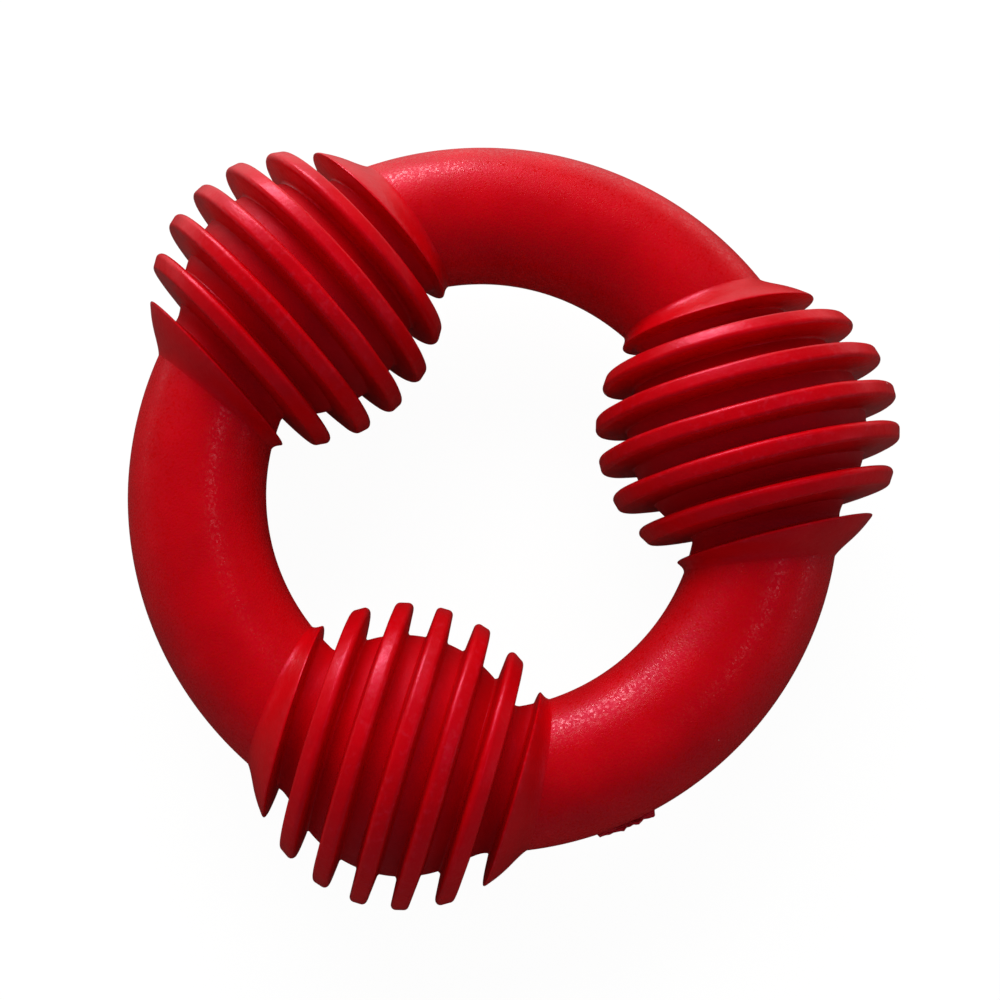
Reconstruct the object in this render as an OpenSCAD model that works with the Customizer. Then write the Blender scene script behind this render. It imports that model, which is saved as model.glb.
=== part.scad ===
// Rubber chew toy: a round bar bent into a ring, with three ribbed balls moulded on it.
// Each ball is a sphere cut by equal grooves, square to the bar. They leave free fins
// and a pointed collar at either end, all standing on a smaller round core.
// The ring lies flat in the XY plane with its middle at the origin, and +Z is up.

/* [Ring] */
// Radius of the bar's centreline round the middle of the ring
ring_r = 46.5; // [43:0.5:54]
// Diameter of the round bar
bar_d = 22.7; // [19:0.1:25]
// Number of ribbed balls round the ring
ball_count = 3; // [2:1:4]

/* [Ribbed balls] */
// Diameter of a ball over its fins
ball_d = 48.7; // [46:0.1:52]
// How far a ball's centre lies inside the bar's centreline
ball_inset = 2.2; // [0:0.1:3]
// Depth of the grooves below the ball's surface
groove_depth = 5.2; // [3:0.1:6.5]
// How far the point of an end collar stands off the bar, on the ring's inner side
collar_h = 2.1; // [1:0.1:4]
// Number of free fins on a ball
fin_count = 5; // [3:1:7]
// Thickness of a fin at its rim
fin_rim_t = 2.7; // [2:0.1:3.2]
// Slope of a groove's walls in degrees, which makes a fin thicker at its root
fin_draft = 4.5; // [0:0.5:6]

/* [Gate vestige] */
// Length of the torn gate along the outside of the bar
gate_l = 10; // [6:0.5:16]
// Height of the torn gate, across the bar
gate_h = 4; // [2:0.5:6]
// How far the torn gate stands off the bar
gate_proud = 1.1; // [0.5:0.1:2]
// Which bar arm carries the gate
gate_arm = 2; // [1:1:2]
// Place of the gate's middle, in degrees round the ring from the arm's first ball
gate_turn = 40; // [36:1:60]

/* [Hidden] */
$fn = 128;
// Finer still where a thin piece is cut by a wide curve
fine_fn = 256;
bar_r = bar_d / 2;
ball_r = ball_d / 2;
core_r = ball_r - groove_depth;
ball_ring_r = ring_r - ball_inset;
ball_step = 360 / ball_count;
// A blank reaches this far past the ball that cuts it
overrun = fin_rim_t;
blank_r = ball_r + overrun;
// Natural rubber, coloured right through
rubber_red = "#b40f1e";
// A collar's point lies on the ball's surface, collar_h off the bar's inner side. Seen from
// above that is where two circles cross: the ball, and the inner side moved out by collar_h.
inner_r = ring_r - bar_r;
circle_gap = ball_ring_r + collar_h;
wall_rim_r = (pow(circle_gap, 2) + pow(ball_r, 2) - pow(inner_r, 2)) / (2 * circle_gap);
wall_x = sqrt(pow(ball_r, 2) - pow(wall_rim_r, 2));
// The fins share out the length between the two collars with equal grooves
fin_pitch = (wall_x + fin_rim_t / 2) / ((fin_count + 1) / 2);
// The gate's torn edge: shares of its length, each with a share of how far it stands off
gate_edge_shares = [
    [0, 0.55],
    [0.04, 0.65],
    [0.23, 0.55],
    [0.42, 0.95],
    [0.48, 0.7],
    [0.6, 0.6],
    [0.68, 1],
    [0.77, 0.6],
    [0.93, 0.9],
    [1, 0.65]
];

// The two collars of a ball
ends = ["left", "right"];

function ball_turn(b) = (b - 1) * ball_step;
// Half the thickness of a fin whose middle lies at x, at radius rho from the ball's axis
function fin_half(x, rho) = fin_rim_t / 2
    + (sqrt(pow(ball_r, 2) - pow(x, 2)) - rho) * tan(fin_draft);
// Where the collar's groove wall lies along the axis, at radius rho from it
function wall_at(rho) = wall_x - (wall_rim_r - rho) * tan(fin_draft);

// Puts what is drawn about the origin at ball b: x along the bar, y outwards, z up
module at_ball(b) {
    rotate([0, 0, ball_turn(b)])
        translate([0, ball_ring_r, 0])
            children();
}

// The bar's ring between two angles, counted from the first ball
module bar_sweep(from_turn, sweep) {
    rotate([0, 0, ball_turn(1) + 90 + from_turn])
        rotate_extrude(angle = sweep)
            translate([ring_r, 0])
                circle(r = bar_r);
}

// The bar as it passes through a ball, from half way along either arm
module bar_through_ball() {
    translate([0, -ball_ring_r, 0])
        bar_sweep(-ball_step / 2, ball_step);
}

// Turns an outline of radius and place along the axis into a solid about the ball's axis
module about_axis() {
    rotate([0, 90, 0])
        rotate_extrude()
            children();
}

// Outline of everything between the two collars' groove walls
module middle_outline() {
    polygon([
        [0, -wall_at(0)],
        [blank_r, -wall_at(blank_r)],
        [blank_r, wall_at(blank_r)],
        [0, wall_at(0)]
    ]);
}

// Outline of a drafted disc whose middle lies at x, cut to the ball and to its core
module fin_outline(x) {
    difference() {
        intersection() {
            circle(r = ball_r);
            polygon([
                [0, x - fin_half(x, 0)],
                [blank_r, x - fin_half(x, blank_r)],
                [blank_r, x + fin_half(x, blank_r)],
                [0, x + fin_half(x, 0)]
            ]);
        }
        circle(r = core_r);
    }
}

// Outline of one end of the ball, beyond the wall of its last groove
module collar_outline(side) {
    intersection() {
        circle(r = ball_r);
        polygon([
            [0, side * wall_at(0)],
            [blank_r, side * wall_at(blank_r)],
            [blank_r, side * blank_r],
            [0, side * blank_r]
        ]);
    }
}

// Outline of the core between the two collars' groove walls
module core_outline() {
    intersection() {
        circle(r = core_r);
        middle_outline();
    }
}

// One arm of the bar, from the collar of ball b to the collar of the next ball
module ring_arm(b) {
    color(rubber_red)
        difference() {
            bar_sweep(ball_turn(b), ball_step);
            at_ball(b) about_axis() middle_outline();
            at_ball(b + 1) about_axis() middle_outline();
        }
}

// The bottom of the grooves: a small ball that the bar runs into on both sides
module ball_core(b) {
    color(rubber_red)
        at_ball(b)
            union() {
                about_axis() core_outline();
                intersection() {
                    bar_through_ball();
                    about_axis() middle_outline();
                }
            }
}

// A free fin, counted along the bar, rooted on the core all the way round
module ball_fin(b, k) {
    x = (k - (fin_count + 1) / 2) * fin_pitch;
    color(rubber_red)
        at_ball(b)
            difference() {
                about_axis() fin_outline(x);
                bar_through_ball();
            }
}

// The end of the ball beyond its last groove: a lip that thins out onto the bar
module ball_collar(b, end_name) {
    side = (end_name == "right") ? 1 : -1;
    color(rubber_red)
        at_ball(b)
            difference() {
                about_axis() collar_outline(side);
                bar_through_ball();
            }
}

// What is left of the torn-off moulding gate, on the outside of one arm
module gate_vestige() {
    outer_r = ring_r + bar_r;
    half_l = gate_l / 2;
    torn_edge = [
        for (p = gate_edge_shares) [outer_r + p[1] * gate_proud, p[0] * gate_l - half_l]
    ];
    color(rubber_red)
        rotate([0, 0, ball_turn(gate_arm) + 90 + gate_turn])
            difference() {
                translate([0, 0, -gate_h / 2])
                    linear_extrude(height = gate_h)
                        polygon(concat([[ring_r, half_l], [ring_r, -half_l]], torn_edge));
                rotate([0, 0, -ball_step / 2])
                    rotate_extrude(angle = ball_step, $fn = fine_fn)
                        translate([ring_r, 0])
                            circle(r = bar_r);
            }
}

for (b = [1:ball_count]) {
    ring_arm(b);
    ball_core(b);
    for (e = ends) {
        ball_collar(b, e);
    }
    for (k = [1:fin_count]) {
        ball_fin(b, k);
    }
}
gate_vestige();
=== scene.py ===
"""Looks of the rubber chew toy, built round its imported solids.

The toy is one moulding of solid red rubber: a round bar bent into a ring, with ribbed balls on it. Each
class below makes one kind of its features, in metres and in the frame of the solids, and every piece made
here stands for one node of that frame.
"""

import logging
import math
from collections.abc import Callable
from dataclasses import dataclass
from enum import Enum
from functools import partial

import bmesh
import bpy
import numpy as np
from bpy.types import ID, Material, Mesh, Node, NodeOutputs, NodeSocket, NodeTree, Object, World
from mathutils import Matrix, Vector


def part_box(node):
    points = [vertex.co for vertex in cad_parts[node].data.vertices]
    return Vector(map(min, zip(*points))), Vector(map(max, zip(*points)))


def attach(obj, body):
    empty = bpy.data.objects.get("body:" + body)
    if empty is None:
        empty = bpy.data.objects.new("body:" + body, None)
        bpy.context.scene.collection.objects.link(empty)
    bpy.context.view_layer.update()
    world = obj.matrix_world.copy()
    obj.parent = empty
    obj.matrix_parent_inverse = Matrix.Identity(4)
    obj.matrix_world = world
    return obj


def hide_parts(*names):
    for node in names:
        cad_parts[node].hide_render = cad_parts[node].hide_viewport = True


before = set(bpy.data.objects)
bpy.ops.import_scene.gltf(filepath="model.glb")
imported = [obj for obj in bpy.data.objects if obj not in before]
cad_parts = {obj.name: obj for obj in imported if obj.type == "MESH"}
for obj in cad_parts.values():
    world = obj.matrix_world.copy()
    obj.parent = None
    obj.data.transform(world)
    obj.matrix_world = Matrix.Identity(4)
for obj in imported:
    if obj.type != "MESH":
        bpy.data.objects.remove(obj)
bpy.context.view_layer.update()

MM = 0.001
BODY = "root"
RIM_ATTRIBUTE = "rim_share"
SHARP_ANGLE = math.radians(35)
# Halvings that pin a crossing down to far less than a micrometre
HALVINGS = 40
# Rounds after which a place that is worked out from itself has settled
ROUNDS = 8
# Waves that are added up for the unevenness of a surface
RIPPLE_WAVES = 7
LOG = logging.getLogger("chew_toy")
Array = np.ndarray
# Adds a node to one tree, as add_node does
Adder = Callable[..., Node]


class GridEnds(Enum):
    """How the first and last rows of a grid of points are closed."""

    JOINED = "joined"
    CAPPED = "capped"


class BallEnd(Enum):
    """The two ends of a ball, by the sign of their place along the bar."""

    LEFT = -1
    RIGHT = 1


class LampRole(Enum):
    """What a lamp adds: the soft shading of the rubber, or only what shines in its skin."""

    SHADING = "shading"
    GLOSS = "gloss"


@dataclass(frozen=True)
class ToySizes:
    """Sizes of the toy in metres, as the nodes of the frame give them.

    Attributes:
        ring_r: radius of the bar's centreline round the middle of the ring.
        bar_r: radius of the round bar.
        ball_r: radius of a ball over its fins.
        ball_ring_r: distance of a ball's centre from the middle of the ring.
        core_r: radius at the bottom of the grooves.
        wall_rim_r: radius of a collar's point about the ball's axis.
        fin_rim_t: thickness of a fin at its rim.
        draft: slope of the grooves' walls, in radians.
        ball_count: number of balls round the ring.
        fin_count: number of free fins on a ball.
    """

    ring_r: float
    bar_r: float
    ball_r: float
    ball_ring_r: float
    core_r: float
    wall_rim_r: float
    fin_rim_t: float
    draft: float
    ball_count: int
    fin_count: int

    @classmethod
    def from_frame(cls, draft: float = math.radians(4.5)) -> "ToySizes":
        """Measures the toy on the boxes of its nodes.

        Args:
            draft: slope of the grooves' walls, in radians.

        Returns:
            The sizes of the toy.
        """
        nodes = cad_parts
        fin_count = sum(name.startswith("ball_1_fin_") for name in nodes)
        fin_low, fin_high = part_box(f"ball_1_fin_{(fin_count + 1) // 2}")
        arm_low, arm_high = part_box("ring_arm_2")
        ball_r, core_r = fin_high.z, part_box("ball_1_core")[1].z
        root_half_t = (fin_high.x - fin_low.x) / 2
        root_depth = ball_r - math.sqrt(core_r**2 - root_half_t**2)
        return cls(
            ring_r=-arm_low.y - arm_high.z,
            bar_r=arm_high.z,
            ball_r=ball_r,
            ball_ring_r=(fin_low.y + fin_high.y) / 2,
            core_r=core_r,
            wall_rim_r=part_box("ball_1_right_collar")[1].z,
            fin_rim_t=2 * (root_half_t - root_depth * math.tan(draft)),
            draft=draft,
            ball_count=sum(name.endswith("_core") for name in nodes),
            fin_count=fin_count,
        )

    @property
    def ball_step(self) -> float:
        """Angle from one ball to the next, in radians."""
        return math.tau / self.ball_count

    @property
    def wall_x(self) -> float:
        """Place of a collar's point along the ball's axis."""
        return math.sqrt(self.ball_r**2 - self.wall_rim_r**2)

    @property
    def fin_pitch(self) -> float:
        """Distance from one fin to the next along the ball's axis."""
        return (self.wall_x + self.fin_rim_t / 2) / ((self.fin_count + 1) / 2)

    def wall_at(self, radius: Array) -> Array:
        """Place of the collar's groove wall along the axis, at these distances from that axis."""
        return self.wall_x - (self.wall_rim_r - radius) * math.tan(self.draft)

    def wall_root(self, turn: Array) -> Array:
        """Place along the axis where the collar's groove wall meets the bar.

        Args:
            turn: angles about that axis, counted from straight outwards on the ring.

        Returns:
            The places, as far from the ball's middle.
        """
        place = np.full(turn.size, self.wall_x)
        for _ in range(ROUNDS):
            place = self.wall_at(self.bar_surface(place, turn))
        return place

    def bar_surface(self, x: Array, turn: Array) -> Array:
        """Distance from a ball's axis to the surface of the bar that runs through the ball.

        Args:
            x: places along the ball's axis.
            turn: angles about that axis, counted from straight outwards on the ring.

        Returns:
            The distances.
        """
        def in_bar(radius: Array) -> Array:
            """Whether the points this far from the axis lie in the bar."""
            across = np.hypot(x, radius * np.cos(turn) + self.ball_ring_r) - self.ring_r
            return np.hypot(across, radius * np.sin(turn)) < self.bar_r

        axis = np.zeros(np.broadcast(x, turn).shape)
        return last_place(axis, axis + self.ball_r, in_bar)

    def ball_place(self, number: int) -> Matrix:
        """Matrix from a ball's own axes to the frame: x along the bar, y outwards, z up."""
        turn = Matrix.Rotation((number - 1) * self.ball_step, 4, "Z")
        return turn @ Matrix.Translation((0, self.ball_ring_r, 0))


def last_place(near: Array, far: Array, holds: Callable[[Array], Array]) -> Array:
    """Finds the last places where a test holds, by halving the stretch that they lie in.

    Args:
        near: places where the test holds.
        far: places where it doesn't.
        holds: the test.

    Returns:
        The last places where it holds.
    """
    for _ in range(HALVINGS):
        middle = (near + far) / 2
        here = holds(middle)
        near, far = np.where(here, middle, near), np.where(here, far, middle)
    return near


def smooth_max(a: Array, b: Array, width: float) -> Array:
    """The larger of two heights, with a rounded valley where they differ by less than the width."""
    overlap = np.maximum(width - np.abs(a - b), 0)
    return np.maximum(a, b) + overlap**2 / (4 * width)


def rounded_corner(before: Array, corner: Array, after: Array, reach: float, steps: int) -> Array:
    """Points of a curve that cuts a corner short and meets both its sides smoothly.

    Args:
        before: points on the side that leads to the corner.
        corner: the corner points.
        after: points on the side that leads away.
        reach: how far from the corner the curve starts and ends.
        steps: number of points.

    Returns:
        The curve's points, with the steps in front.
    """
    towards, away = (
        side / np.linalg.norm(side, axis=-1, keepdims=True) for side in (before - corner, after - corner))
    t = np.linspace(0, 1, steps).reshape(-1, 1, 1)
    return corner + reach * ((1 - t) ** 2 * towards + t**2 * away)


def ripple(points: Array, wavelength: float, seed: int) -> Array:
    """Slight unevenness of a moulded surface, between -1 and 1.

    Args:
        points: places in space, in metres.
        wavelength: distance from one swell to the next, in metres.
        seed: seed of the swells' directions.

    Returns:
        The height at each point, as a share of the greatest.
    """
    rng = np.random.default_rng(seed)
    waves = rng.normal(size=(3, RIPPLE_WAVES))
    waves *= math.tau / wavelength / np.linalg.norm(waves, axis=0)
    return np.sin(points @ waves + rng.uniform(0, math.tau, RIPPLE_WAVES)).mean(axis=-1)


def grid_mesh(points: Array, ends: GridEnds) -> Mesh:
    """A closed mesh from a grid of points whose rows run round.

    Args:
        points: places in metres, as rows by columns by 3.
        ends: how the first and last rows are closed.

    Returns:
        The mesh, with its faces pointing outwards.
    """
    rows, columns, _ = points.shape
    bands = rows if ends is GridEnds.JOINED else rows - 1
    row, column = np.meshgrid(np.arange(bands), np.arange(columns), indexing="ij")
    next_row, next_column = (row + 1) % rows, (column + 1) % columns
    corners = [(row, column), (next_row, column), (next_row, next_column), (row, next_column)]
    quads = np.stack([r * columns + c for r, c in corners], axis=-1).reshape(-1, 4)
    vertices = points.reshape(-1, 3)
    faces = quads.tolist()
    if ends is GridEnds.CAPPED:
        middles = np.stack([points[0].mean(axis=0), points[-1].mean(axis=0)])
        vertices = np.concatenate([vertices, middles])
        for first, middle in ((0, rows * columns), ((rows - 1) * columns, rows * columns + 1)):
            faces += [(first + c, first + (c + 1) % columns, middle) for c in range(columns)]
    mesh = bpy.data.meshes.new("grid")
    mesh.from_pydata(vertices.tolist(), [], faces)
    face_out(mesh)
    mesh.polygons.foreach_set("use_smooth", [True] * len(faces))
    mesh.set_sharp_from_angle(angle=SHARP_ANGLE)
    return mesh


def face_out(mesh: Mesh) -> None:
    """Turns the faces of a closed mesh outwards.

    Args:
        mesh: the mesh.
    """
    shell = bmesh.new()
    shell.from_mesh(mesh)
    bmesh.ops.recalc_face_normals(shell, faces=shell.faces)
    shell.to_mesh(mesh)
    shell.free()


def store_rim_share(mesh: Mesh, shares: Array) -> None:
    """Keeps with each point how near it lies to an exposed rim, from 0 to 1."""
    attribute = mesh.attributes.new(RIM_ATTRIBUTE, "FLOAT", "POINT")
    attribute.data.foreach_set("value", shares.ravel())


def add_object(name: str, data: ID) -> Object:
    """Makes an object and links it to the scene.

    Args:
        name: its name.
        data: its mesh, lamp or camera.

    Returns:
        The object.
    """
    item = bpy.data.objects.new(name, data)
    bpy.context.scene.collection.objects.link(item)
    return item


def dress(mesh: Mesh, node: str, material: Material) -> None:
    """Puts a mesh into the scene as the piece that stands for a node.

    Args:
        mesh: the piece's mesh, in place.
        node: the node that it replaces, which also gives its name.
        material: its finish.
    """
    mesh.name = node
    mesh.materials.clear()
    mesh.materials.append(material)
    piece = add_object(f"{node}_rubber", mesh)
    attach(piece, BODY)
    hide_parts(node)
    LOG.info("%s: %d faces", piece.name, len(mesh.polygons))


def add_node(tree: NodeTree, kind: str, inputs: dict | None = None, **settings: object) -> Node:
    """Adds a node to a tree.

    Args:
        tree: the tree of nodes.
        kind: the node's type.
        inputs: for each input's name or number, a value or the output that it is linked to. A node there
            stands for its first output.
        settings: values of the node's own properties.

    Returns:
        The node.
    """
    node = tree.nodes.new(kind)
    for name, value in settings.items():
        setattr(node, name, value)
    for socket, value in (inputs or {}).items():
        source = value.outputs[0] if isinstance(value, Node) else value
        if isinstance(source, NodeSocket):
            tree.links.new(source, node.inputs[socket])
        else:
            node.inputs[socket].default_value = source
    return node


def fresh_nodes(owner: Material | World) -> Adder:
    """Gives a material or a world an empty tree of nodes.

    Args:
        owner: the material or the world.

    Returns:
        What adds a node to the tree.
    """
    owner.use_nodes = True
    owner.node_tree.nodes.clear()
    return partial(add_node, owner.node_tree)


def linear_colour(code: str) -> tuple[float, float, float, float]:
    """Turns an sRGB hex colour into the linear colour that a shader takes."""
    shares = [int(code[i : i + 2], 16) / 255 for i in (1, 3, 5)]
    return (*(s / 12.92 if s <= 0.04045 else ((s + 0.055) / 1.055) ** 2.4 for s in shares), 1.0)


@dataclass(frozen=True)
class MouldedRubber:
    """Solid natural rubber, coloured right through and pressed in a steel mould.

    The pigment gives it one deep, even red. Its skin is satin: it shines softly, and where it does, the
    tops of the grain that the mould leaves catch the light as fine pale specks.

    Attributes:
        name: name of the material.
        colour: colour of the rubber.
        sheen: colour of its highlights: the pigment lies right under the skin and reddens them.
        facet_sheen: their colour on the tops of the grain.
        roughness: how far it spreads a highlight where it is smoothest between those tops.
        matting: how much further it spreads one where it is dullest.
        facet_roughness: how far the tops spread it.
        sparkle: how much the tops stand out, from 0 to 1.
        grain: width of the grain. The real one is about 0.15 mm wide. It is drawn coarser, because
            below 0.3 mm it doesn't show in the render.
        grain_height: depth of the grain.
        patch: width of the duller patches of the skin.
        dent: width of the shallow unevenness of the moulded skin.
        dent_height: depth of that unevenness.
        cloud: width of the faint clouds in the colour, where the pigment is mixed in unevenly.
        rub_and_highlight_marks: width of the pale marks on exposed rims, which are partly rubbing and partly
            painted highlight.
        rim_rub_and_highlight: how much the exposed rims are paled, from 0 to 1: partly real rubbing, partly
            painted highlight.
        rim_rub_and_highlight_colour: colour of the paled rims, partly rubbing and partly painted highlight.
        dust_spacing: width of the cells that may each hold a speck of dust.
        dust_above: a cell holds one where its random grey is above this, as in about one of eleven.
        dust_share: radius of a speck, as a share of the cell's width.
        dust_colour: colour of the dust.
        ior: index of refraction of vulcanised rubber.
    """

    name: str
    colour: str = "#c80008"
    sheen: str = "#ff5694"
    facet_sheen: str = "#ffbcce"
    roughness: float = 0.42
    matting: float = 0.06
    facet_roughness: float = 0.2
    sparkle: float = 1.0
    grain: float = 0.36 * MM
    grain_height: float = 0.04 * MM
    patch: float = 2.2 * MM
    dent: float = 3.0 * MM
    dent_height: float = 0.03 * MM
    cloud: float = 9.0 * MM
    rub_and_highlight_marks: float = 1.1 * MM
    rim_rub_and_highlight: float = 0.0
    rim_rub_and_highlight_colour: str = "#d4324a"
    dust_spacing: float = 4.5 * MM
    dust_above: float = 0.8
    dust_share: float = 0.03
    dust_colour: str = "#e9b9b4"
    ior: float = 1.52

    def material(self) -> Material:
        """Builds the material.

        Returns:
            The material: a deep red with a satin skin, broken up by the grain, faint mottling, rims paled
            partly by rubbing and partly by painted highlight, and a few specks of dust.
        """
        material = bpy.data.materials.new(self.name)
        add = fresh_nodes(material)
        place = add("ShaderNodeTexCoord").outputs["Object"]
        grain = add("ShaderNodeTexNoise", {
            "Vector": place, "Scale": 1 / self.grain, "Detail": 1, "Roughness": 0.6})
        tops = add("ShaderNodeTexVoronoi", {"Vector": place, "Scale": 1 / self.grain})
        facet = add("ShaderNodeMapRange", {
            "Value": tops.outputs["Color"], "From Min": 0.45, "From Max": 0.85, "To Max": self.sparkle})
        patches = add("ShaderNodeTexNoise", {"Vector": place, "Scale": 1 / self.patch, "Detail": 3})
        matt = add("ShaderNodeMapRange", {
            "Value": patches, "From Min": 0.35, "From Max": 0.65, "To Min": self.roughness,
            "To Max": self.roughness + self.matting})
        roughness = add("ShaderNodeMapRange", {
            "Value": facet, "To Min": matt, "To Max": self.facet_roughness})
        sheen = add("ShaderNodeMix", {
            "Factor": facet, 6: linear_colour(self.sheen), 7: linear_colour(self.facet_sheen)},
            data_type="RGBA")
        shader = add("ShaderNodeBsdfPrincipled", {
            "Base Color": self.dusty_colour(add, place), "Roughness": roughness, "IOR": self.ior,
            "Specular Tint": sheen.outputs[2], "Normal": self.skin_normal(add, place, grain)})
        add("ShaderNodeOutputMaterial", {"Surface": shader})
        return material

    def dusty_colour(self, add: Adder, place: NodeSocket) -> NodeSocket:
        """Adds the nodes of the colour: the red, its rims paled by rubbing and painted highlight, dust
        specks.

        Args:
            add: adds a node to the material.
            place: the output that gives a point's place on the piece.

        Returns:
            The output that gives the colour.
        """
        cloud = add("ShaderNodeTexNoise", {"Vector": place, "Scale": 1 / self.cloud, "Detail": 2})
        shade = add("ShaderNodeMapRange", {
            "Value": cloud, "From Min": 0.3, "From Max": 0.7, "To Min": 0.9, "To Max": 1.06})
        red = add("ShaderNodeHueSaturation", {"Value": shade, "Color": linear_colour(self.colour)})
        # Paler spots on the rims: partly real rubbing, partly painted highlight along the rims' edges
        rub_and_highlight_marks = add("ShaderNodeTexNoise", {"Vector": place, "Scale": 1 / self.rub_and_highlight_marks, "Detail": 4})
        rub_and_highlight_share = add("ShaderNodeMapRange", {
            "Value": rub_and_highlight_marks, "From Min": 0.55, "From Max": 0.75, "To Max": self.rim_rub_and_highlight})
        rim = add("ShaderNodeAttribute", attribute_name=RIM_ATTRIBUTE)
        rub_and_highlight_mask = add("ShaderNodeMath", {0: rub_and_highlight_share, 1: rim.outputs["Fac"]}, operation="MULTIPLY")
        red_with_rub_and_highlight = add("ShaderNodeMix", {
            "Factor": rub_and_highlight_mask, 6: red, 7: linear_colour(self.rim_rub_and_highlight_colour)}, data_type="RGBA")
        cells = add("ShaderNodeTexVoronoi", {"Vector": place, "Scale": 1 / self.dust_spacing})
        few = add("ShaderNodeMath", {
            0: cells.outputs["Color"], 1: self.dust_above}, operation="GREATER_THAN")
        small = add("ShaderNodeMath", {
            0: cells.outputs["Distance"], 1: self.dust_share}, operation="LESS_THAN")
        speck = add("ShaderNodeMath", {0: few, 1: small}, operation="MULTIPLY")
        dusty = add("ShaderNodeMix", {
            "Factor": speck, 6: red_with_rub_and_highlight.outputs[2], 7: linear_colour(self.dust_colour)}, data_type="RGBA")
        return dusty.outputs[2]

    def skin_normal(self, add: Adder, place: NodeSocket, grain: Node) -> Node:
        """Adds the nodes of the skin's relief: shallow dents, and the mould's grain on top.

        Args:
            add: adds a node to the material.
            place: the output that gives a point's place on the piece.
            grain: the node that gives the height of the grain there.

        Returns:
            The node that gives the normal.
        """
        dents = add("ShaderNodeTexNoise", {"Vector": place, "Scale": 1 / self.dent, "Detail": 1})
        uneven = add("ShaderNodeBump", {"Height": dents, "Distance": self.dent_height})
        return add("ShaderNodeBump", {"Height": grain, "Distance": self.grain_height, "Normal": uneven})


def reach_sums(name: str, ball: str, place: str) -> list[tuple[str, str, tuple]]:
    """The sums that give how far from its axis a ball's surface lies, at a place along it.

    Args:
        name: name of the result.
        ball: name of the ball's radius.
        place: name of the place.

    Returns:
        The sums in order, each as its name, its operation and its terms.
    """
    return [
        (f"{ball} squared", "POWER", (ball, 2.0)),
        (f"{place} squared", "POWER", (place, 2.0)),
        (f"{name} squared", "SUBTRACT", (f"{ball} squared", f"{place} squared")),
        (name, "SQRT", (f"{name} squared",)),
    ]


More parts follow.
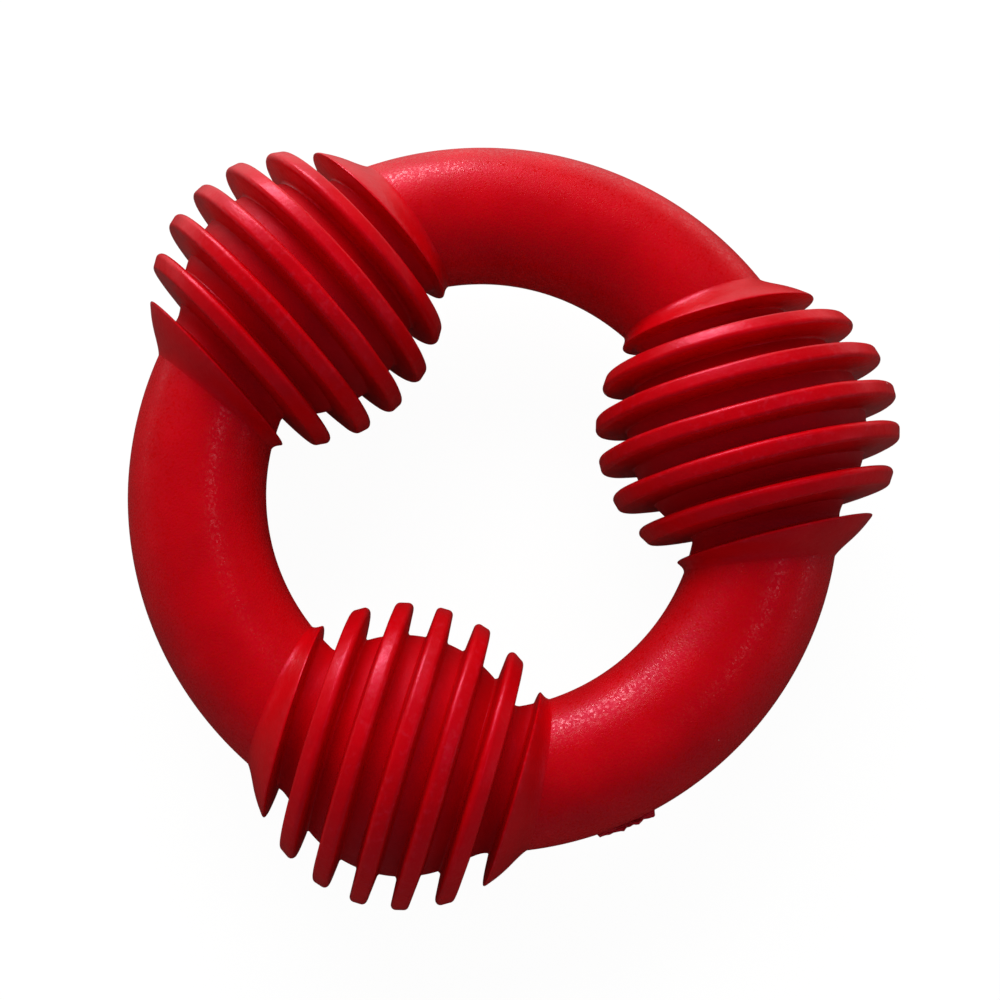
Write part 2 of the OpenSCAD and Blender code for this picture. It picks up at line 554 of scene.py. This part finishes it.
@dataclass(frozen=True)
class FinTree:
    """Geometry Nodes that turn a fin: a drafted disc with a rounded rim and filleted roots.

    Attributes:
        sizes: sizes of the toy.
        rim_round: radius of the rim's two edges.
        root_fillet: radius of the fillets where a fin stands on the core.
        foot: how far a fillet's skirt runs out on the core.
        dip: how far the skirt's edge dips below the core's surface.
        sink: how deep the fin goes on below the core's surface.
        bend: how far the rim may stray to either side.
        wander: distance over which it strays there and back.
        turns: number of steps round the disc.
        rounding_steps: number of steps in each rounded edge and fillet.
    """

    sizes: ToySizes
    rim_round: float = 0.8 * MM
    root_fillet: float = 0.6 * MM
    foot: float = 1.0 * MM
    dip: float = 0.18 * MM
    sink: float = 0.5 * MM
    bend: float = 0.16 * MM
    wander: float = 16 * MM
    turns: int = 320
    rounding_steps: int = 6

    def inputs(self) -> dict[str, float]:
        """The tree's named inputs, with their values for this toy."""
        return {
            "Place Along Bar": 0.0, "Ball Radius": self.sizes.ball_r, "Core Radius": self.sizes.core_r,
            "Rim Thickness": self.sizes.fin_rim_t, "Draft": self.sizes.draft, "Rim Rounding": self.rim_round,
            "Root Fillet": self.root_fillet, "Foot": self.foot, "Dip": self.dip, "Sink": self.sink,
            "Bend": self.bend, "Seed": 0.0}

    def build(self, material: Material) -> NodeTree:
        """Builds the tree.

        Args:
            material: the finish that the tree sets.

        Returns:
            The tree of nodes.
        """
        tree = bpy.data.node_groups.new("fin_of_a_ball", "GeometryNodeTree")
        tree.interface.new_socket(name="Geometry", in_out="OUTPUT", socket_type="NodeSocketGeometry")
        for name, value in self.inputs().items():
            socket = tree.interface.new_socket(name=name, in_out="INPUT", socket_type="NodeSocketFloat")
            socket.default_value = value
        add = partial(add_node, tree)
        given = add("NodeGroupInput").outputs
        outline, roundings = self.outline_points(add, given)
        index = add("GeometryNodeInputIndex")
        where = add("GeometryNodeIndexSwitch", {"Index": index}, data_type="VECTOR")
        radius = add("GeometryNodeIndexSwitch", {"Index": index}, data_type="FLOAT")
        for switch, values in ((where, outline), (radius, roundings)):
            while len(switch.index_switch_items) < len(values):
                switch.index_switch_items.new()
            for number, value in enumerate(values):
                tree.links.new(value, switch.inputs[number + 1])
        line = add("GeometryNodeMeshLine", {"Count": len(outline)})
        curve = add("GeometryNodeMeshToCurve", {"Mesh": line})
        loop = add("GeometryNodeSetSplineCyclic", {"Geometry": curve, "Cyclic": True})
        placed = add("GeometryNodeSetPosition", {"Geometry": loop, "Position": where})
        profile = add("GeometryNodeFilletCurve", {
            "Curve": placed, "Count": self.rounding_steps, "Radius": radius, "Limit Radius": True},
            mode="POLY")
        path = add("GeometryNodeCurvePrimitiveCircle", {
            "Resolution": self.turns, "Radius": given["Core Radius"]})
        disc = add("GeometryNodeCurveToMesh", {"Curve": path, "Profile Curve": profile})
        real = add("GeometryNodeRealizeInstances", {"Geometry": self.worked(add, disc, given)})
        smooth = add("GeometryNodeSetShadeSmooth", {"Geometry": real})
        dressed = add("GeometryNodeSetMaterial", {"Geometry": smooth, "Material": material})
        add("NodeGroupOutput", {"Geometry": dressed})
        return tree

    def outline_points(self, add: Adder, given: NodeOutputs) -> tuple[list, list]:
        """Adds the sums that place the corners of the fin's outline.

        Args:
            add: adds a node to the tree.
            given: the tree's named inputs.

        Returns:
            The corners in order, and the rounding of each. The outline's x is the radius beyond the core's,
            and its y the place along the bar, turned round, as the sweep lays it.
        """
        corners, roundings = [], []
        sharp = add("ShaderNodeValue").outputs[0]
        sharp.default_value = 0.0
        for side in (-1.0, 1.0):
            sums = {"side": side, "half side": side / 2}
            for name, operation, terms in (
                ("slope", "TANGENT", ("Draft",)),
                ("rim place", "MULTIPLY_ADD", ("Rim Thickness", "half side", "Place Along Bar")),
                *reach_sums("rim radius", "Ball Radius", "rim place"),
                *reach_sums("core height", "Core Radius", "rim place"),
                ("depth", "SUBTRACT", ("rim radius", "core height")),
                ("flare", "MULTIPLY", ("depth", "slope")),
                ("root place", "MULTIPLY_ADD", ("flare", "side", "rim place")),
                *reach_sums("root radius", "Core Radius", "root place"),
                ("foot place", "MULTIPLY_ADD", ("Foot", "side", "root place")),
                *reach_sums("core radius there", "Core Radius", "foot place"),
                ("foot radius", "SUBTRACT", ("core radius there", "Dip")),
                ("sunk radius", "SUBTRACT", ("foot radius", "Sink")),
            ):
                known = [sums[t] if t in sums else given[t] if isinstance(t, str) else t for t in terms]
                sums[name] = add("ShaderNodeMath", dict(enumerate(known)), operation=operation)
            places = []
            for radius, along in (("sunk radius", "foot place"), ("foot radius", "foot place"),
                                  ("root radius", "root place"), ("rim radius", "rim place")):
                beyond = add("ShaderNodeMath", {
                    0: sums[radius], 1: given["Core Radius"]}, operation="SUBTRACT")
                turned = add("ShaderNodeMath", {0: sums[along], 1: -1.0}, operation="MULTIPLY")
                point = add("ShaderNodeCombineXYZ", {"X": beyond, "Y": turned})
                places.append(point.outputs[0])
            radii = [sharp, sharp, given["Root Fillet"], given["Rim Rounding"]]
            order = slice(None) if side < 0 else slice(None, None, -1)
            corners += places[order]
            roundings += radii[order]
        return corners, roundings

    def worked(self, add: Adder, disc: Node, given: NodeOutputs) -> Node:
        """Adds the nodes that bend the rim a little and mark how near each point lies to it.

        Args:
            add: adds a node to the tree.
            disc: the node that gives the plain disc.
            given: the tree's named inputs.

        Returns:
            The node that gives the finished disc.
        """
        place = add("GeometryNodeInputPosition")
        flat = add("ShaderNodeVectorMath", {0: place, 1: (1, 1, 0)}, operation="MULTIPLY")
        radius = add("ShaderNodeVectorMath", {0: flat}, operation="LENGTH")
        share = add("ShaderNodeMapRange", {
            "Value": radius.outputs["Value"], "From Min": given["Core Radius"],
            "From Max": given["Ball Radius"]})
        noise = add("ShaderNodeTexNoise", {
            "Vector": place, "W": given["Seed"], "Scale": 1 / self.wander, "Detail": 1.0},
            noise_dimensions="4D")
        swing = add("ShaderNodeMapRange", {
            "Value": noise, "From Min": 0.25, "From Max": 0.75, "To Min": -1.0, "To Max": 1.0})
        amount = add("ShaderNodeMath", {0: given["Bend"], 1: share}, operation="MULTIPLY")
        shift = add("ShaderNodeMath", {0: swing, 1: amount}, operation="MULTIPLY")
        offset = add("ShaderNodeCombineXYZ", {"Z": shift})
        bent = add("GeometryNodeSetPosition", {"Geometry": disc, "Offset": offset})
        return add("GeometryNodeStoreNamedAttribute", {
            "Geometry": bent, "Name": RIM_ATTRIBUTE, "Value": share})


@dataclass(frozen=True)
class RibbedBall:
    """One ball on the bar: its core, its free fins and its two end collars.

    Attributes:
        sizes: sizes of the toy.
        number: number of the ball, counted round the ring.
        valley: the core's and the collars' surfaces run into the bar where they differ by less than this.
        point_reach: how far from its point a collar's lip is rounded.
        root_reach: how far from its corner the root of a groove's end wall is rounded.
        lap: how far a collar's outer edge and its root dip below the surface of the bar.
        sink: how deep the hidden side of a collar lies below the bar's surface.
        lip_zone: how far from its point, along the bar, a collar's lip is paled for rubbing and painted
            highlight.
        turns: number of steps round the ball's axis.
    """

    sizes: ToySizes
    number: int
    valley: float = 2.2 * MM
    point_reach: float = 0.75 * MM
    root_reach: float = 0.6 * MM
    lap: float = 0.14 * MM
    sink: float = 0.5 * MM
    lip_zone: float = 1.0 * MM
    turns: int = 240

    def build(self, rubber: Material, groove_rubber: Material, fin_tree: NodeTree) -> None:
        """Makes the ball's pieces and dresses them.

        Args:
            rubber: finish of the collars and the fins.
            groove_rubber: finish of the core, which shows at the bottom of the grooves.
            fin_tree: the Geometry Nodes that turn a fin.
        """
        name = f"ball_{self.number}"
        dress(self.core_mesh(), f"{name}_core", groove_rubber)
        for end in BallEnd:
            dress(self.collar_mesh(end), f"{name}_{end.name.lower()}_collar", rubber)
        for fin in range(1, self.sizes.fin_count + 1):
            place = (fin - (self.sizes.fin_count + 1) / 2) * self.sizes.fin_pitch
            values = {"Place Along Bar": place, "Seed": float(10 * self.number + fin)}
            dress(self.fin_mesh(fin_tree, values), f"{name}_fin_{fin}", rubber)

    def angles(self) -> Array:
        """Angles about the ball's axis, counted from straight outwards."""
        return np.linspace(0, math.tau, self.turns, endpoint=False)

    def placed(self, x: Array, radius: Array) -> Array:
        """Points on circles about the ball's axis, in the frame.

        Args:
            x: places along the axis, as rows by turns.
            radius: distances from it, as rows by turns.

        Returns:
            The points, as rows by turns by 3.
        """
        y, z = radius * np.cos(self.angles()), radius * np.sin(self.angles())
        local = np.stack([x + 0 * radius, y, z, 1 + 0 * radius], axis=-1)
        return (local @ np.array(self.sizes.ball_place(self.number)).T)[..., :3]

    def core_mesh(self) -> Mesh:
        """The bottom of the grooves: a small ball that runs into the bar.

        Returns:
            The mesh, from one collar's wall to the other's.
        """
        sizes, turn, steps = self.sizes, self.angles(), 81
        x = np.linspace(-1, 1, steps)[:, None] * sizes.wall_root(turn)
        ball = np.sqrt(np.maximum(sizes.core_r**2 - x**2, 0))
        radius = smooth_max(ball, sizes.bar_surface(x, turn), self.valley)
        return grid_mesh(self.placed(x, radius), GridEnds.CAPPED)

    def collar_mesh(self, end: BallEnd) -> Mesh:
        """An end of the ball: a pointed lip whose outside thins out onto the bar.

        Args:
            end: which end of the ball.

        Returns:
            The mesh.
        """
        sizes, turn = self.sizes, self.angles()
        outside_steps, slope_steps, rounding_steps, hidden_steps = 48, 6, 7, 8

        def proud(x: Array) -> Array:
            """Whether the ball still stands out at these places, or fills the valley round the bar."""
            return np.sqrt(sizes.ball_r**2 - x**2) > sizes.bar_surface(x, turn) - self.valley

        edge_x = last_place(np.full(turn.size, sizes.wall_x), np.full(turn.size, sizes.ball_r), proud)
        # The outside, from where it has sunk into the bar up to the lip's point, where it gets finer
        crowding, fade = 0.85, 3
        t = np.linspace(0, 1, outside_steps)[:, None] ** crowding
        x = edge_x + (sizes.wall_x - edge_x) * t
        ball = np.sqrt(sizes.ball_r**2 - x**2)
        height = smooth_max(ball, sizes.bar_surface(x, turn), self.valley) - self.lap * (1 - t) ** fade
        outside = np.stack([x, height], axis=-1)
        root_x = sizes.wall_root(turn)
        root_r = sizes.bar_surface(root_x, turn)
        root = np.stack([root_x, root_r], axis=-1)
        floor_x = root_x - 2 * self.root_reach
        floor = np.stack([floor_x, sizes.bar_surface(floor_x, turn) - self.lap], axis=-1)
        # The last steps before the point give the outside's slope there, and the rounding replaces them
        before, point = outside[-slope_steps], outside[-1]
        beyond = np.linalg.norm(outside - point, axis=-1).min(axis=1) > self.point_reach
        lip = rounded_corner(before, point, root, self.point_reach, rounding_steps)
        fillet = rounded_corner(point, root, floor, self.root_reach, rounding_steps)
        hidden_x = np.linspace(fillet[-1][:, 0], edge_x, hidden_steps)
        hidden = np.stack([hidden_x, sizes.bar_surface(hidden_x, turn) - self.sink], axis=-1)
        outline = np.concatenate([outside[beyond], lip, fillet, hidden])
        mesh = grid_mesh(self.placed(end.value * outline[..., 0], outline[..., 1]), GridEnds.JOINED)
        share = (outline[..., 1] - root_r) / (sizes.wall_rim_r - root_r)
        near_lip = outline[..., 0] < sizes.wall_x + self.lip_zone
        store_rim_share(mesh, np.clip(share, 0, 1) * near_lip)
        return mesh

    def fin_mesh(self, tree: NodeTree, values: dict[str, float]) -> Mesh:
        """A free fin, turned by the Geometry Nodes and put in its place.

        Args:
            tree: the Geometry Nodes that turn a fin.
            values: the tree's inputs that differ from fin to fin.

        Returns:
            The mesh.
        """
        holder = add_object("fin_holder", bpy.data.meshes.new("fin_holder"))
        modifier = holder.modifiers.new("turned", "NODES")
        modifier.node_group = tree
        for item in tree.interface.items_tree:
            if item.name in values:
                modifier[item.identifier] = values[item.name]
        turned = holder.evaluated_get(bpy.context.evaluated_depsgraph_get())
        mesh = bpy.data.meshes.new_from_object(turned)
        holder.modifiers.clear()
        bpy.data.objects.remove(holder)
        mesh.transform(self.sizes.ball_place(self.number) @ Matrix.Rotation(math.pi / 2, 4, "Y"))
        face_out(mesh)
        mesh.set_sharp_from_angle(angle=SHARP_ANGLE)
        return mesh


@dataclass(frozen=True)
class BarArm:
    """The plain bar between two balls.

    Attributes:
        sizes: sizes of the toy.
        number: number of the arm, which starts at the ball of that number.
        seam_height: how far the line left by the mould's parting stands proud, outside and inside the ring.
        seam_width: width of that line.
        sway: depth of the bar's slight unevenness.
        swell: length of that unevenness.
        stations: number of steps along the arm.
        turns: number of even steps round the bar.
        seam_steps: number of finer steps across each line.
    """

    sizes: ToySizes
    number: int
    seam_height: float = 0.05 * MM
    seam_width: float = 0.4 * MM
    sway: float = 0.05 * MM
    swell: float = 23 * MM
    stations: int = 150
    turns: int = 160
    seam_steps: int = 17

    def build(self, rubber: Material) -> None:
        """Makes the arm and dresses it."""
        dress(self.mesh(), f"ring_arm_{self.number}", rubber)

    def mesh(self) -> Mesh:
        """The arm, from one groove's end wall to the next ball's.

        Returns:
            The mesh.
        """
        sizes = self.sizes
        # The finer steps reach two widths of the line to either side, and the even ones keep clear of them
        reach, clearance = 2, 1.2
        fine = np.linspace(-reach, reach, self.seam_steps) * self.seam_width / sizes.bar_r
        even = np.linspace(0, math.tau, self.turns, endpoint=False)
        clear = np.abs(np.sin(even)) > np.sin(fine[-1]) * clearance
        turn = np.sort(np.concatenate([even[clear], fine, fine + math.pi]) % math.tau)
        start = np.zeros(turn.size)
        for _ in range(ROUNDS):
            across = sizes.ring_r + sizes.bar_r * np.cos(turn)
            radius = np.hypot(across * np.cos(start) - sizes.ball_ring_r, sizes.bar_r * np.sin(turn))
            start = np.arcsin(sizes.wall_at(radius) / across)
        along = np.linspace(start, sizes.ball_step - start, self.stations)
        seam = np.exp(-((2 * sizes.bar_r * np.sin(turn) / self.seam_width) ** 2))
        bearing = math.pi / 2 + (self.number - 1) * sizes.ball_step + along
        uneven = (1 + ripple(self.on_bar(bearing, turn, sizes.bar_r), self.swell, seed=self.number)) / 2
        thinner = self.seam_height * (1 - seam) + self.sway * uneven
        return grid_mesh(self.on_bar(bearing, turn, sizes.bar_r - thinner), GridEnds.CAPPED)

    def on_bar(self, bearing: Array, turn: Array, radius: Array) -> Array:
        """Points about the bar's centreline, in the frame.

        Args:
            bearing: angles round the ring, from +X.
            turn: angles round the bar, from straight outwards.
            radius: distances from the centreline.

        Returns:
            The points.
        """
        across = self.sizes.ring_r + radius * np.cos(turn)
        height = radius * np.sin(turn) + 0 * bearing
        return np.stack([across * np.cos(bearing), across * np.sin(bearing), height], axis=-1)


@dataclass(frozen=True)
class GateVestige:
    """What is left of the moulding gate: a low torn strip on the outside of an arm.

    Attributes:
        arm: the arm that carries it.
        edge_shares: shares of its length, each with a share of how far it stands off there.
        rough: depth of the torn surface's roughness.
        foot: depth of its foot in the bar.
        chunk: length of the lumps that it is torn into.
        notch: length of the notches in its two long sides.
        steps: number of steps along and across it.
    """

    arm: BarArm
    edge_shares: tuple = (
        (0, 0.55), (0.04, 0.65), (0.23, 0.55), (0.42, 0.95), (0.48, 0.7),
        (0.6, 0.6), (0.68, 1), (0.77, 0.6), (0.93, 0.9), (1, 0.65))
    rough: float = 0.16 * MM
    foot: float = 0.48 * MM
    chunk: float = 3.1 * MM
    notch: float = 2.3 * MM
    steps: tuple[int, int] = (120, 56)

    def build(self, rubber: Material) -> None:
        """Makes the torn strip and dresses it."""
        dress(self.mesh("gate_vestige"), "gate_vestige", rubber)

    def mesh(self, node: str) -> Mesh:
        """The strip, with its torn edge and its sunk foot.

        Args:
            node: the node whose place, length and height it takes.

        Returns:
            The mesh.
        """
        bar_r, on_bar = self.arm.sizes.bar_r, self.arm.on_bar
        low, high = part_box(node)
        bearing = math.atan2(low.y + high.y, low.x + high.x)
        solid = np.array([vertex.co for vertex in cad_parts[node].data.vertices])
        around = (np.arctan2(solid[:, 1], solid[:, 0]) - bearing + math.pi) % math.tau - math.pi
        proud = np.hypot(solid[:, 0], solid[:, 1]).max() - self.arm.sizes.ring_r - bar_r
        share = np.linspace(0, 1, self.steps[0])[:, None]
        across = np.linspace(-1, 1, self.steps[1])
        angle = bearing + around.min() + share * (around.max() - around.min()) + 0 * across
        # Shares of its node's breadth, and how much of it the notches take
        usual_breadth, least_breadth, notched = 0.85, 0.5, 0.4
        notches = notched * ripple(on_bar(angle, across, bar_r), self.notch, seed=7)
        turn = across * (usual_breadth + notches).clip(least_breadth, 1) * high.z / bar_r
        surface = on_bar(angle, turn, bar_r)
        # Shares of its height by which its long sides are lower, usually and at most
        usual_cave, most_cave = 0.5, 0.8
        caved = (usual_cave + ripple(surface, self.chunk, seed=8)).clip(0, most_cave) * np.abs(across)
        height = proud * np.interp(share, *np.array(self.edge_shares).T) * (1 - caved)
        coarse, fine = ripple(surface, self.chunk / 2, seed=5), ripple(surface, self.chunk / 4, seed=6)
        # Depth of the fine pits against the coarse ones', and the share of its length where an end slopes
        fine_depth, end = 0.6, 1 / 32
        pits = self.rough * (coarse + fine_depth * fine - 1)
        edge = np.clip((0.5 - np.abs(share - 0.5)) / end, 0, 1) * (1 - across**2)
        lift = (height + pits) * edge - self.rough * (1 - edge)
        top, sunk = on_bar(angle, turn, bar_r + lift), on_bar(angle, turn, bar_r - self.foot)
        return grid_mesh(np.concatenate([top, sunk[:, ::-1]], axis=1), GridEnds.CAPPED)


@dataclass(frozen=True)
class Studio:
    """The pale floor that the toy lies on, and the soft lamps round it.

    One panel shades the toy and isn't mirrored in it. The other lamps are only mirrored, as the light of
    the window and the ceiling is in satin rubber, so that its highlights are placed without shading it.
    The toy's skin mirrors the floor only on the window's side and the room hardly at all, because its
    grooves and its lower sides stay dark. To the camera, floor and room are white.

    Attributes:
        camera: the camera, whose view the lamps are placed by.
        floor_z: height of the floor.
        floor_size: length of its sides.
        white: how bright the floor glows where the camera sees it.
        glow_share: share of that glow. The rest is plain card, which keeps the toy's shadow.
        window_glow: how bright the toy's skin mirrors the floor on the window's side.
        window_reach: how far up the picture from its middle that glow starts, and where it is full.
        horizon: how bright the room shines on the toy from the horizon.
        overhead: how bright it shines from above.
        overhead_from: height of a direction from which on it counts as above, as a share.
        mirrored_room: how bright the toy's skin mirrors the room.
    """

    camera: "PhotoCamera"
    floor_z: float
    floor_size: float = 8.0
    white: float = 1.12
    glow_share: float = 0.86
    window_glow: float = 0.9
    window_reach: tuple[float, float] = (50 * MM, 110 * MM)
    horizon: float = 0.85
    overhead: float = 0.26
    overhead_from: float = 0.4
    mirrored_room: float = 0.01

    def build(self) -> None:
        """Makes the floor, the surroundings and the lamps."""
        self.floor()
        self.surroundings()
        self.lamp("sky_panel", (-0.10, 0.87, 0.49), 0.60, (0.60, 0.42), 4.0, LampRole.SHADING)
        self.lamp("low_pane", (-0.30, 0.95, 0.08), 0.60, (0.34, 0.16), 2.60)
        self.lamp("high_pane", (-0.36, 0.85, 0.38), 0.60, (0.24, 0.18), 0.40)
        self.lamp("ceiling_lamp", (0.44, 0.20, 0.86), 0.90, (0.04, 0.40), 0.36)
        self.lamp("side_strip", (0.95, -0.12, 0.28), 0.90, (0.20, 0.10), 0.10)

    def floor(self) -> None:
        """Makes the floor: white as the camera sees it, and keeping the toy's shadow."""
        mesh = bpy.data.meshes.new("floor")
        half = self.floor_size / 2
        signs = ((-1, -1), (1, -1), (1, 1), (-1, 1))
        mesh.from_pydata([(x * half, y * half, self.floor_z) for x, y in signs], [], [(0, 1, 2, 3)])
        material = bpy.data.materials.new("white_card")
        material.cycles.emission_sampling = "NONE"
        mesh.materials.append(material)
        add = fresh_nodes(material)
        card = add("ShaderNodeBsdfDiffuse", {"Color": linear_colour("#bcbcba")})
        rays = add("ShaderNodeLightPath").outputs
        place = add("ShaderNodeTexCoord").outputs["Object"]
        upward = add("ShaderNodeVectorMath", {0: place, 1: self.camera.axes()[1]}, operation="DOT_PRODUCT")
        # The window's side of the floor glows only where the toy mirrors it: a painted reflection that puts
        # the highlight on the ring's edges facing the window
        start, full = self.window_reach
        window_side_glow = add("ShaderNodeMapRange", {
            "Value": upward.outputs["Value"], "From Min": start, "From Max": full,
            "To Max": self.window_glow}, interpolation_type="SMOOTHSTEP")
        strength = add("ShaderNodeMix", {
            "Factor": rays["Is Glossy Ray"], "A": self.white, "B": window_side_glow})
        glow = add("ShaderNodeEmission", {"Color": (1, 1, 1, 1), "Strength": strength})
        shown = rays["Is Camera Ray"]
        for ray in ("Is Transmission Ray", "Is Glossy Ray"):
            shown = add("ShaderNodeMath", {0: shown, 1: rays[ray]}, operation="MAXIMUM")
        part = add("ShaderNodeMath", {0: shown, 1: self.glow_share}, operation="MULTIPLY")
        mixed = add("ShaderNodeMixShader", {0: part, 1: card, 2: glow})
        add("ShaderNodeOutputMaterial", {"Surface": mixed})
        add_object("floor", mesh)

    def surroundings(self) -> None:
        """Lights the scene from all round, paler near the horizon than overhead."""
        world = bpy.data.worlds.new("studio")
        bpy.context.scene.world = world
        world.cycles.sampling_method = "NONE"
        add = fresh_nodes(world)
        direction = add("ShaderNodeTexCoord").outputs["Generated"]
        height = add("ShaderNodeSeparateXYZ", {0: direction}).outputs["Z"]
        level = add("ShaderNodeMapRange", {
            "Value": height, "From Max": self.overhead_from, "To Min": self.horizon,
            "To Max": self.overhead}, interpolation_type="SMOOTHSTEP")
        rays = add("ShaderNodeLightPath").outputs
        strength = add("ShaderNodeMix", {
            "Factor": rays["Is Glossy Ray"], "A": level, "B": self.mirrored_room})
        for ray in ("Is Camera Ray", "Is Transmission Ray"):
            strength = add("ShaderNodeMath", {0: strength, 1: rays[ray]}, operation="MAXIMUM")
        sky = add("ShaderNodeBackground", {"Color": (1, 1, 1, 1), "Strength": strength})
        add("ShaderNodeOutputWorld", {"Surface": sky})

    def lamp(self, name: str, towards: tuple[float, float, float], distance: float,
             size: tuple[float, float], power: float, role: LampRole = LampRole.GLOSS) -> None:
        """Makes a soft lamp that faces the middle of the toy.

        Args:
            name: name of the lamp.
            towards: its direction from the toy, as shares right, up and towards the camera.
            distance: its distance in metres.
            size: its width and height in metres.
            power: its power in watts.
            role: what it adds to the toy.
        """
        light = bpy.data.lights.new(name, "AREA")
        light.shape = "RECTANGLE"
        light.size, light.size_y = size
        light.energy = power
        lamp = add_object(name, light)
        lamp.visible_diffuse = role is LampRole.SHADING
        lamp.visible_glossy = role is LampRole.GLOSS
        right, up, back = self.camera.axes()
        away = (right * towards[0] + up * towards[1] + back * towards[2]).normalized()
        # Its height follows the picture's, or the line of sight where it hangs near the picture's top
        near_top = 0.8
        level = up if abs(up.dot(away)) < near_top else back
        height = (level - away * level.dot(away)).normalized()
        lamp.matrix_world = axes_matrix(height.cross(away), height, away, away * distance)


def axes_matrix(x: Vector, y: Vector, z: Vector, place: Vector) -> Matrix:
    """Matrix of an object with these three axes at this place."""
    return Matrix.Translation(place) @ Matrix((x, y, z)).transposed().to_4x4()


@dataclass(frozen=True)
class PhotoCamera:
    """The camera, almost straight above the toy and turned about its line of sight.

    Attributes:
        target: the point that its lens points at.
        bearing: the way that it stands from there, round from +X, in degrees.
        elevation: its angle above the toy's plane, in degrees.
        roll: its turn about its line of sight, in degrees.
        distance: its distance from the target.
        lens: focal length in millimetres.
        sensor: width of the sensor in millimetres, the same as of the square picture.
        shift: how far the picture reaches past the lens's middle, as shares of its width: the
            photograph is a crop, whose middle isn't where the lens pointed.
        clip_start: nothing nearer than this is seen.
    """

    target: Vector = Vector((-11.77 * MM, 10.47 * MM, 0))
    bearing: float = 236.22
    elevation: float = 81.84
    roll: float = -9.32
    distance: float = 299.69 * MM
    lens: float = 66.05
    sensor: float = 36.0
    shift: tuple[float, float] = (0.115, -0.005)
    clip_start: float = 10 * MM

    def axes(self) -> tuple[Vector, Vector, Vector]:
        """The picture's own directions.

        Returns:
            The directions right, up and back towards the camera.
        """
        bearing, elevation, roll = (math.radians(a) for a in (self.bearing, self.elevation, self.roll))
        level = Vector((math.cos(bearing), math.sin(bearing), 0))
        back = level * math.cos(elevation) + Vector((0, 0, math.sin(elevation)))
        right = Vector((0, 0, 1)).cross(back).normalized()
        up = back.cross(right)
        turned = right * math.cos(roll) + up * math.sin(roll)
        return turned, back.cross(turned), back

    def build(self) -> None:
        """Makes the camera and gives it to the scene."""
        data = bpy.data.cameras.new("photo_camera")
        data.sensor_fit = "HORIZONTAL"
        data.sensor_width = self.sensor
        data.lens = self.lens
        data.shift_x, data.shift_y = self.shift
        data.clip_start = self.clip_start
        camera = add_object("photo_camera", data)
        right, up, back = self.axes()
        camera.matrix_world = axes_matrix(right, up, back, self.target + back * self.distance)
        bpy.context.scene.camera = camera


def main() -> None:
    """Builds the toy's features in order, then the studio round them."""
    logging.basicConfig(level=logging.INFO, format="%(name)s: %(message)s")
    bpy.context.scene.view_settings.view_transform = "Standard"
    sizes = ToySizes.from_frame()
    LOG.info("ring %.2f mm, bar %.2f mm, ball %.2f mm, fin %.2f mm", *(
        value / MM for value in (sizes.ring_r, 2 * sizes.bar_r, 2 * sizes.ball_r, sizes.fin_rim_t)))
    camera = PhotoCamera()
    camera.build()
    # The bar's part of the mould is spark-eroded, which leaves a fine matt grain
    bar_rubber = MouldedRubber("red_rubber_grained").material()
    # The fins' part is turned and polished, so the rubber comes out smoother and glossier
    # Its rims are paled, partly for real rubbing and partly as painted highlight
    ball_rubber = MouldedRubber(
        "red_rubber_smooth", roughness=0.32, sparkle=0.3, grain_height=0.02 * MM,
        dent=1.6 * MM, dent_height=0.07 * MM, rim_rub_and_highlight=0.25).material()
    # No polishing stick reaches the bottom of the grooves, which stays dull
    groove_rubber = MouldedRubber("red_rubber_dull", roughness=0.56, sparkle=0.1).material()
    # The gate is torn off, which leaves dull, crumbly rubber
    torn_rubber = MouldedRubber(
        "red_rubber_torn", colour="#b80012", roughness=0.6, sparkle=0.5, grain_height=0.06 * MM).material()
    fin_tree = FinTree(sizes).build(ball_rubber)
    for number in range(1, sizes.ball_count + 1):
        BarArm(sizes, number).build(bar_rubber)
        RibbedBall(sizes, number).build(ball_rubber, groove_rubber, fin_tree)
    GateVestige(BarArm(sizes, 2)).build(torn_rubber)
    Studio(camera, floor_z=-sizes.ball_r).build()


if __name__ == "__main__":
    main()
